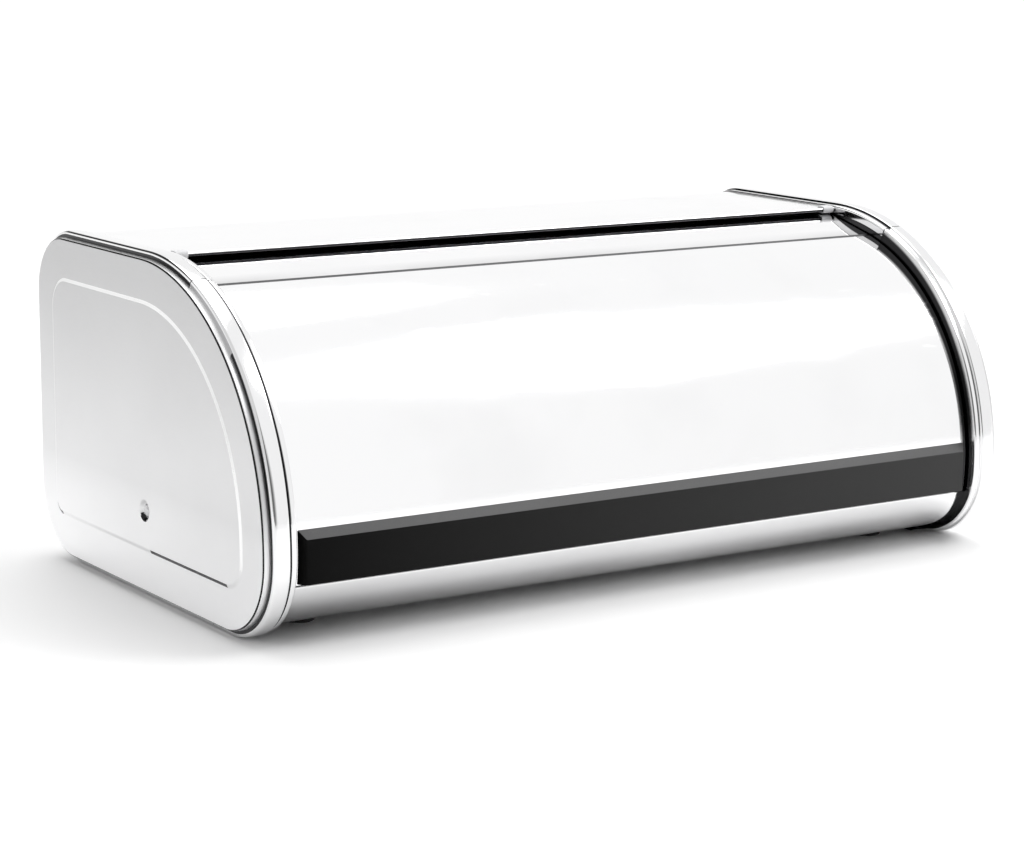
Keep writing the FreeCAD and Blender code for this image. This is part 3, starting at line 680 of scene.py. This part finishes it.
def wrap_sheet():
    """Front lip with its hem, floor, rear, top and folded nose, bent from one sheet."""
    piece = start("bread_box_body")
    outer_y = LIP_Y - LIP * math.cos(LIP_TILT)
    outer_z = LIP_Z - LIP * math.sin(LIP_TILT)
    hem_y = outer_y + 2 * HEM * math.cos(LIP_TILT) + LIP_HEM * math.sin(LIP_TILT)
    hem_z = outer_z + 2 * HEM * math.sin(LIP_TILT) - LIP_HEM * math.cos(LIP_TILT)
    half = WALL_X + WRAP_TUCK
    dot(-half, hem_y, hem_z)
    draw(x=2 * half)
    everything()
    tilt = math.degrees(LIP_TILT)
    pen = Pen(hem_y, hem_z, 90 + tilt)
    pen.go(LIP_HEM).bend(HEM, 180).bend(LIP, 90 - tilt)
    pen.go(WRAP_REAR - WRAP_REAR_CORNER - LIP_Y).bend(WRAP_REAR_CORNER, 90)
    pen.go(WRAP_TOP - WRAP_TOP_CORNER - WRAP_FLOOR - WRAP_REAR_CORNER).bend(WRAP_TOP_CORNER, 90)
    pen.go(WRAP_REAR - WRAP_TOP_CORNER - NOSE_Y - HEM).bend(HEM, 180).go(NOSE_HEM)
    face_out(piece, (0, 1, 0))
    thicken(piece)
    smooth()
    piece.data.materials.append(WRAP_STEEL)
    # Painted shade: the nose's lower half takes a near-black finish.
    shade(piece, SEAM_SHADE, under_nose)
    return piece


def bread_box_body():
    """The wrap sheet with the rear part of both hoops welded on."""
    sheet = wrap_sheet()
    left = [rear_hoop(), nose_wall()]
    right = [other_side(piece, "right_hand_part", "case", "wrap_steel") for piece in left]
    bpy.ops.object.select_all(action="DESELECT")
    for piece in (*left, *right, sheet):
        piece.select_set(True)
    bpy.context.view_layer.objects.active = sheet
    bpy.ops.object.join()
    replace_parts(sheet, "body_wrap")
    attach(sheet, "case")


# ---------------------------------------------------------------------------- end panels and pivots


BORDER_X = -HALF + 0.7 * MM
FLANGE = 15.5 * MM
EDGE_ROUND = 1.2 * MM
DIMPLE = 5.3 * MM
DIMPLE_DEPTH = 1.8 * MM


def end_outline(x, front, rear, floor, corners):
    """Draws the box's end outline, set in by so much at the front and top, rear and floor."""
    front_corner, rear_corner, top_corner = corners
    low, high = FLOOR + floor, TOP - front
    near, far = FRONT + front, REAR - rear
    dot(x, near + front_corner, low)
    pen = Pen(near + front_corner, low, 0)
    level = far - rear_corner - near - front_corner
    pen.go(0.44 * level).go(0.56 * level).bend(rear_corner, 90)
    pen.go(high - top_corner - low - rear_corner).bend(top_corner, 90)
    pen.go(far - top_corner - ARCH_Y).bend(ARCH - front, 90)
    pen.go(ARCH_Z - low - front_corner).bend(front_corner, 90)


def end_panel():
    """A pressed end: flange, rounded edge, flat border, softly raised field and the pivot's dimple."""
    piece = start("end_panel_left")
    end_outline(-HALF + FLANGE, 0, 0, 0, (FRONT_CORNER, REAR_CORNER, TOP_CORNER))
    weld()
    draw(x=BORDER_X + HALF - FLANGE)
    end_outline(BORDER_X, 20 * MM, 18 * MM, 21 * MM, (16 * MM, 9 * MM, 18 * MM))
    weld()
    pick(piece, lambda p: abs(p.x - BORDER_X) < 1e-6, "EDGE")
    bpy.ops.mesh.fill()
    pick(piece, lambda p: abs(p.x - BORDER_X) < 1e-6 and in_field(p), "EDGE")
    bpy.ops.mesh.edge_face_add()
    everything()
    bpy.ops.mesh.normals_make_consistent(inside=False)
    turn_out(piece, (-1, 0, 0))
    bpy.ops.object.mode_set(mode="EDIT")
    pick(piece, lambda p: abs(p.x - BORDER_X) < 1e-6 and in_field(p), "FACE")
    for width, rise in ((0.5, 0.04), (0.55, 0.18), (0.6, 0.26), (0.55, 0.18), (0.5, 0.04)):
        bpy.ops.mesh.inset(thickness=width * MM, depth=rise * MM)
    press_dimple(piece)
    turn_out(piece, (-1, 0, 0))
    bevel_rim(piece)
    thicken(piece)
    smooth()
    finished(piece, END_STEEL, "case", "end_steel", "side_panel_left")
    # Painted shade: near-black lines at the rim between border and flange, along the field's foot and on
    # the dimple's lower slope.
    shade(piece, SEAM_SHADE, lambda f: from_end(f) < 2.2 * MM and 0.3 < abs(f.normal.x) < 0.88
          and f.normal.x < 0 and not in_field(f.center) or on_field_foot(f) or low_in_dimple(f))
    # Painted highlight on the field's sloping edge.
    shade(piece, EDGE_HIGHLIGHT, on_field_edge)
    return piece


def on_field_edge(face):
    """Whether a face is on the sloping edge of the field, above its foot."""
    slope = face.normal.x < 0 and 0.9 < -face.normal.x < 0.995 and face.center.x < BORDER_X
    return slope and face.normal.z > -0.1 and in_field(face.center) and not near_pivot(face)


def near_pivot(face):
    return math.hypot(face.center.y - PIVOT_Y, face.center.z - PIVOT_Z) < DIMPLE + 1 * MM


def low_in_dimple(face):
    """Whether a face is on the lower slope of the dimple's cup."""
    return near_pivot(face) and face.normal.x < 0 and face.normal.z > 0.25 and face.normal.y < 0.15


def on_field_foot(face):
    """Whether a face is on the steep foot of the field: its lower front edge, or its rear corner."""
    y = face.center.y
    low = face.normal.x < 0 and face.center.z < FLOOR + 27 * MM and in_field(face.center)
    front = face.normal.z < -0.25 and FRONT + 38 * MM < y < FRONT + 118 * MM
    return low and (front or face.normal.z < -0.12 and y > REAR - 27 * MM)


def in_field(p):
    """Whether a point of an end lies within the raised field's outline, give or take a hair."""
    hair = 0.05 * MM
    inside = FRONT + 20 * MM - hair < p.y < REAR - 18 * MM + hair
    level = FLOOR + 21 * MM - hair < p.z < TOP - 20 * MM + hair
    arched = math.hypot(p.y - ARCH_Y, p.z - ARCH_Z) < ARCH - 20 * MM + hair
    return inside and level and (arched or p.y > ARCH_Y or p.z < ARCH_Z)


def press_dimple(piece):
    """Cuts a round hole in the field's flat middle and presses a cup there, down to the pin's hole."""
    pick(piece, lambda p: p.x < -HALF + 0.05 * MM, "FACE")
    bpy.ops.mesh.delete(type="ONLY_FACE")
    bpy.ops.mesh.primitive_circle_add(
        vertices=48, radius=DIMPLE + 0.9 * MM, location=(-HALF, PIVOT_Y, PIVOT_Z),
        rotation=(0, math.radians(90), 0),
    )
    pick(piece, lambda p: p.x < -HALF + 0.05 * MM, "EDGE")
    bpy.ops.mesh.fill()
    pick(piece, around_pivot(DIMPLE + 0.8 * MM, DIMPLE + 1.0 * MM), "EDGE")
    radius, last = DIMPLE + 0.9 * MM, 0.0
    for new_radius, depth in ((5.7, 0.08), (5.2, 0.3), (4.75, 0.75), (4.35, 1.2), (4.0, 1.55),
                              (3.6, 1.75), (2.6, 1.8)):
        draw(x=0)
        bpy.ops.transform.resize(
            value=(1, new_radius * MM / radius, new_radius * MM / radius),
            center_override=(0, PIVOT_Y, PIVOT_Z),
        )
        bpy.ops.transform.translate(value=((depth - last) * MM, 0, 0))
        radius, last = new_radius * MM, depth


def around_pivot(low, high):
    """A test for points of the left end whose distance from the pivot's line is between two radii."""
    return lambda p: p.x < 0 and low < math.hypot(p.y - PIVOT_Y, p.z - PIVOT_Z) < high


def bevel_rim(piece):
    """Rounds the edge between an end's flange and its border."""
    bpy.ops.object.mode_set(mode="EDIT")
    pick(piece, lambda p: abs(p.x - BORDER_X) < 1e-6 and not in_field(p), "EDGE")
    keep_boundary_of_flange(piece)
    bpy.ops.mesh.bevel(offset=EDGE_ROUND, segments=4, affect="EDGES")
    bpy.ops.object.mode_set(mode="OBJECT")


def keep_boundary_of_flange(piece):
    """Keeps only the selected edges whose two faces meet at a right angle."""
    bpy.ops.object.mode_set(mode="OBJECT")
    mesh = piece.data
    faces = {}
    for face in mesh.polygons:
        for key in face.edge_keys:
            faces.setdefault(key, []).append(face.normal)
    for edge in mesh.edges:
        normals = faces.get(tuple(sorted(edge.vertices)), [])
        edge.select = edge.select and len(normals) == 2 and abs(normals[0].dot(normals[1])) < 0.5
    bpy.ops.object.mode_set(mode="EDIT")


def pivot_pin():
    """A riveted pin with a domed head, a thick shoulder and the journal of the lid."""
    reach = HOOP_REACH
    seat = DIMPLE_DEPTH
    piece = turned("pivot_rivet_left", [
        (seat - 1.3 * MM, 0), (seat - 1.26 * MM, 0.9 * MM), (seat - 1.1 * MM, 1.8 * MM),
        (seat - 0.78 * MM, 2.6 * MM), (seat - 0.3 * MM, 3.3 * MM), (seat, 3.5 * MM), (seat, 2.5 * MM),
        (seat + GAUGE, 2.5 * MM), (seat + GAUGE, 5.5 * MM), (reach + 0.4 * MM, 5.5 * MM),
        (reach + 0.4 * MM, 3 * MM), (reach + 4.6 * MM, 3 * MM), (reach + 4.6 * MM, 2.4 * MM),
        (reach + 5.4 * MM, 2.4 * MM), (reach + 5.4 * MM, 3 * MM), (reach + 6.2 * MM, 3 * MM),
        (reach + 6.7 * MM, 2.5 * MM), (reach + 6.7 * MM, 0),
    ], PIVOT_Y, PIVOT_Z)
    soften(piece, 0.12 * MM, segments=1, angle=60)
    smooth()
    return finished(piece, PIN_STEEL, "case", "pin_steel", "pivot_pin_left")


# ---------------------------------------------------------------------------- lid and handle


def in_groove(face):
    y, z = lid_place(LID_CREASE, LID)
    return math.hypot(face.center.y - y, face.center.z - z) < GROOVE_REACH


def rolling_lid():
    """The lid's sheet: a long arc, a pressed groove, a flat strip and the tail under the nose."""
    piece = start("rolling_lid")
    y, z = lid_place(-LID_LOW, LID)
    dot(-LID_HALF, y, z)
    draw(x=2 * LID_HALF)
    everything()
    pen = Pen(y, z, 90 + LID_LOW)
    pen.bend(LID, -(LID_LOW + LID_CREASE - 0.6))
    pen.bend(1.5 * MM, -GROOVE).bend(0.5 * MM, 2 * GROOVE).bend(1.5 * MM, -GROOVE - 2.8)
    pen.go(STRIP).bend(12 * MM, -24).go(TAIL)
    face_out(piece, (0, 0, 1))
    piece.data.materials.append(LID_STEEL)
    # Painted shade: the groove's faces take a near-black finish.
    shade(piece, CREASE_SHADE, in_groove)
    thicken(piece)
    smooth()
    finished(piece, None, "lid", "lid_steel", "lid_sheet")


def on_lid(z):
    """How far back the lid's front is at a height."""
    return PIVOT_Y - math.sqrt(LID**2 - (z - PIVOT_Z) ** 2)


def handle_bar():
    """The long black bar: flat face, wide bevel on top, and ends bevelled to meet it in a mitre."""
    piece = start("handle_bar_black")
    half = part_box("handle_bar")[1].x
    corners = [(on_lid(BAR_LOW), BAR_LOW), (BAR_FACE, BAR_LOW), (BAR_FACE, BAR_SHOULDER)]
    back = [BAR_TOP + (BAR_LOW - BAR_TOP) * n / 8 for n in range(8)]
    corners += [(on_lid(z), z) for z in back]
    dot(-half, *corners[0])
    for (y0, z0), (y1, z1) in zip(corners, corners[1:] + corners[:1]):
        draw(y=y1 - y0, z=z1 - z0)
    weld()
    bpy.ops.mesh.edge_face_add()
    draw(x=2 * half)
    for side in (-1, 1):
        pick(piece, lambda p, side=side: p.x * side > 0 and p.y < BAR_FACE + 0.1 * MM)
        bpy.ops.transform.translate(value=(-side * BAR_END_BEVEL, 0, 0))
    face_out(piece, (0, -1, 0))
    soften(piece, 0.45 * MM, segments=3, angle=25)
    smooth(30)
    finished(piece, FRONT_PLASTIC, "lid", "black_plastic", "handle_bar")
    # Painted highlight: the top bevel takes the paler copy of the plastic.
    shade(piece, BEVEL_LIT_PLASTIC, lambda f: f.normal.z > 0.5)


# ---------------------------------------------------------------------------- feet and buffers


def rubber_foot(node):
    """A rubber foot with grip rings underneath and a stem through the floor."""
    low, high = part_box(node)
    x, y = (low.x + high.x) / 2, (low.y + high.y) / 2
    piece = start(f"rubber_{node}")
    neck = WRAP_FLOOR + GAUGE
    section = [
        (0, 0.5 * MM), (2.2 * MM, 0.5 * MM), (2.6 * MM, 0), (4.2 * MM, 0), (4.6 * MM, 0.5 * MM),
        (5.4 * MM, 0.5 * MM), (5.8 * MM, 0), (6.9 * MM, 0), (7.6 * MM, 0.35 * MM), (7.9 * MM, 1.2 * MM),
        (8.0 * MM, WRAP_FLOOR - 0.3 * MM), (7.7 * MM, WRAP_FLOOR), (3 * MM, WRAP_FLOOR), (3 * MM, neck),
        (4.5 * MM, neck), (4.3 * MM, neck + 0.7 * MM), (3.6 * MM, neck + 1.5 * MM), (0, neck + 2 * MM),
    ]
    dot(x, y, section[0][1])
    for (r0, z0), (r1, z1) in zip(section, section[1:]):
        draw(x=r1 - r0, z=z1 - z0)
    everything()
    spin(360, (x, y, 0), (0, 0, 1), 40)
    face_out(piece, (0, 0, 1))
    smooth()
    finished(piece, FOOT_RUBBER, "case", "foot_rubber", node)


def nose_clip(node):
    """A small pale clip over the nose's end, which the handle bar would meet first."""
    low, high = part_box(node)
    piece = start(f"soft_{node}")
    y, z = NOSE_Y + 5.5 * MM, WRAP_TOP + 0.8 * MM
    dot(low.x, y, z)
    draw(x=high.x - low.x)
    everything()
    Pen(y, z, 180).go(y - NOSE_Y - HEM).bend(HEM + 0.8 * MM, 180).go(4.5 * MM)
    face_out(piece, (0, 0, 1))
    thicken(piece, 0.75 * MM)
    soften(piece, 0.2 * MM, angle=60)
    smooth()
    finished(piece, BUFFER_PLASTIC, "case", "buffer_plastic", node)


def lip_buffer(node):
    """A small soft pad with rounded edges on the lip's hem."""
    low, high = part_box(node)
    piece = start(f"soft_{node}")
    dot(*low)
    draw(x=high.x - low.x)
    everything()
    draw(y=high.y - low.y)
    everything()
    draw(z=high.z - low.z)
    face_out(piece, (0, 0, 1))
    soften(piece, 0.25 * MM, segments=3, angle=60)
    smooth()
    finished(piece, BUFFER_PLASTIC, "case", "buffer_plastic", node)


# ---------------------------------------------------------------------------- the whole box


bread_box_body()
right_hoop = other_side(front_hoop(), "front_hoop_right", "case", "wrap_steel", "front_arch_right")
# The right hoop's step keeps plain steel, without the painted shade.
shade(right_hoop, HOOP_STEEL, on_step)
other_side(end_panel(), "end_panel_right", "case", "end_steel", "side_panel_right")
other_side(pivot_pin(), "pivot_rivet_right", "case", "pin_steel", "pivot_pin_right")
rolling_lid()
handle_bar()
for place in ("front", "rear"):
    for side in ("left", "right"):
        rubber_foot(f"foot_{place}_{side}")
for side in ("left", "right"):
    lip_buffer(f"lip_buffer_{side}")
    nose_clip(f"nose_buffer_{side}")

# The frame's own small pieces that stay, and their finishes.
KEPT = {
    "pivot_washer": PIN_STEEL,
    "pivot_clip": PIN_STEEL,
    "pivot_bush": BUSH_PLASTIC,
    "open_stop": PIN_STEEL,
    "stop_sleeve": BUFFER_PLASTIC,
    "handle_screws": PIN_STEEL,
    "lid_arm": ARM_STEEL,
}
for name, node in frame["nodes"].items():
    for stem, finish in KEPT.items():
        if name.startswith(stem):
            node.data.materials.clear()
            node.data.materials.append(finish)


# ---------------------------------------------------------------------------- floor, light and camera


def pale_floor():
    bpy.ops.object.select_all(action="DESELECT")
    bpy.ops.mesh.primitive_plane_add(size=80)
    floor = bpy.context.object
    floor.name = "studio_floor"
    finish = Finish("studio_paper", (0.93, 0.93, 0.93), 0.6)
    fibre = finish.noise(900, detail=2)
    finish.tint(fibre, (0.925, 0.925, 0.925))
    floor.data.materials.append(finish.done())


def studio_world():
    """A bright studio for the steel to reflect, with light and dark panels in it."""
    world = bpy.data.worlds.new("studio")
    bpy.context.scene.world = world
    world.use_nodes = True
    tree = world.node_tree
    place = tree.nodes.new("ShaderNodeTexCoord").outputs["Generated"]
    background = tree.nodes["Background"]
    light = None
    for toward, low, high, shade in WORLD_PANELS:
        along = tree.nodes.new("ShaderNodeVectorMath")
        along.operation = "DOT_PRODUCT"
        along.inputs[1].default_value = Vector(toward).normalized()
        tree.links.new(place, along.inputs[0])
        edge = tree.nodes.new("ShaderNodeMapRange")
        edge.interpolation_type = "SMOOTHSTEP"
        tree.links.new(along.outputs["Value"], edge.inputs["Value"])
        edge.inputs["From Min"].default_value, edge.inputs["From Max"].default_value = low, high
        mix = tree.nodes.new("ShaderNodeMix")
        mix.data_type = "RGBA"
        tree.links.new(edge.outputs["Result"], mix.inputs["Factor"])
        if light is None:
            mix.inputs[6].default_value = (WORLD_BASE, WORLD_BASE, WORLD_BASE, 1)
        else:
            tree.links.new(light, mix.inputs[6])
        mix.inputs[7].default_value = (shade, shade, shade, 1)
        light = mix.outputs[2]
    tree.links.new(light, background.inputs["Color"])
    background.inputs["Strength"].default_value = 1.0


# Each panel: the direction of its middle, the cosines where it starts and is full, and its brightness.
WORLD_BASE = 0.78
WORLD_PANELS = (
    ((1.0, 0.1, 0.25), -0.15, 0.3, 1.03),
    ((-0.35, -0.95, 0.15), 0.72, 0.92, 0.15),
    ((-0.55, 0.82, 0.16), 0.90, 0.97, 1.1),
    ((-0.22, 0.80, 0.56), 0.90, 0.97, 0.03),
)


def softbox(name, place, aim, width, height, power):
    bpy.ops.object.light_add(type="AREA", location=place)
    lamp = bpy.context.object
    lamp.name = name
    lamp.rotation_euler = (Vector(aim) - Vector(place)).to_track_quat("-Z", "Y").to_euler()
    lamp.data.shape = "RECTANGLE"
    lamp.data.size, lamp.data.size_y = width, height
    lamp.data.energy = power


def overhead_light(toward, spread, strength):
    """A broad even light from above and a little behind, so that the front's foot lies in soft shadow."""
    bpy.ops.object.light_add(type="SUN", location=(0, 0, 3))
    lamp = bpy.context.object
    lamp.name = "overhead_light"
    lamp.rotation_euler = Vector(toward).to_track_quat("Z", "Y").to_euler()
    lamp.data.angle = math.radians(spread)
    lamp.data.energy = strength


def studio_camera():
    bpy.ops.object.camera_add(location=(-0.82595, -1.25013, 0.35302))
    camera = bpy.context.object
    yaw, pitch, roll = (math.radians(a) for a in (33.18, 10.88, 0.43))
    turn = Matrix.Rotation(-yaw, 3, "Z") @ Matrix.Rotation(math.pi / 2 - pitch, 3, "X")
    camera.rotation_euler = (turn @ Matrix.Rotation(roll, 3, "Z")).to_euler()
    camera.data.sensor_width = 36
    camera.data.lens = 98.105
    bpy.context.scene.camera = camera


pale_floor()
studio_world()
softbox("front_softbox", (1.07, -0.63, 1.57), (0, 0, 0.1), 0.9, 0.9, 14)
overhead_light((0.12, 0.45, 1.0), 50, 1.15)
studio_camera()
bpy.context.scene.view_settings.view_transform = "Standard"
